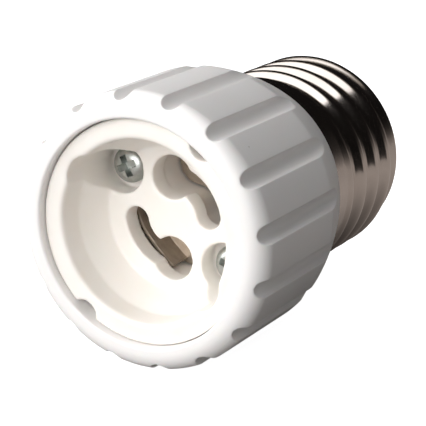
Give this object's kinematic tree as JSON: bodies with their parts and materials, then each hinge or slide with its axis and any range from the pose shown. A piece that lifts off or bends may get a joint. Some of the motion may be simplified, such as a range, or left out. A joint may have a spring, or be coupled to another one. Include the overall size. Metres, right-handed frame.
{
  "type": "lamp socket adapter",
  "caption": "Screw cap to twist-lock lamp socket adapter: a fluted white housing holds a dished ceramic insert with two curved keyholes; a threaded metal cap on its neck.",
  "frame": {"origin": "on the axis, at the housing's rear shoulder, where the screw cap leaves the housing and the adapter is held in a lamp holder", "axes": "+Y along the axis from the mouth to the tip of the screw cap; the two keyholes' round entries lie one above the other along Z"},
  "size_m": [0.0334, 0.0501, 0.0334],
  "materials": {
    "white_thermoplastic": "white moulded thermoplastic, fine satin surface",
    "steatite_ceramic": "pressed and fired unglazed technical ceramic",
    "zinc_plated_steel": "bright zinc plating",
    "nickel_plated_brass": "nickel plating over rolled brass sheet",
    "nickel_plated_bronze": "tarnished nickel plating on spring bronze",
    "spring_steel": "stainless spring strip",
    "glass_fibre_board": "laminated glass-fibre board",
    "black_thermoset": "black moulded thermoset",
    "tin_solder": "bright tin solder",
    "silicone_brown": "brown silicone rubber insulation, tinned ends",
    "silicone_blue": "blue silicone rubber insulation, tinned ends"
  },
  "bodies": {
    "root": {"housing": "white_thermoplastic", "ceramic_insert": "steatite_ceramic", "backing_plate": "glass_fibre_board", "contact_clip_a": "nickel_plated_bronze", "contact_clip_b": "nickel_plated_bronze", "clip_spring_a": "spring_steel", "clip_spring_b": "spring_steel", "mounting_screw_a": "zinc_plated_steel", "mounting_screw_b": "zinc_plated_steel", "screw_cap": "nickel_plated_brass", "tip_insulator": "black_thermoset", "centre_contact": "nickel_plated_brass", "tip_solder": "tin_solder", "cap_solder": "tin_solder", "lead_live": "silicone_brown", "lead_neutral": "silicone_blue"}
  },
  "joints": []
}
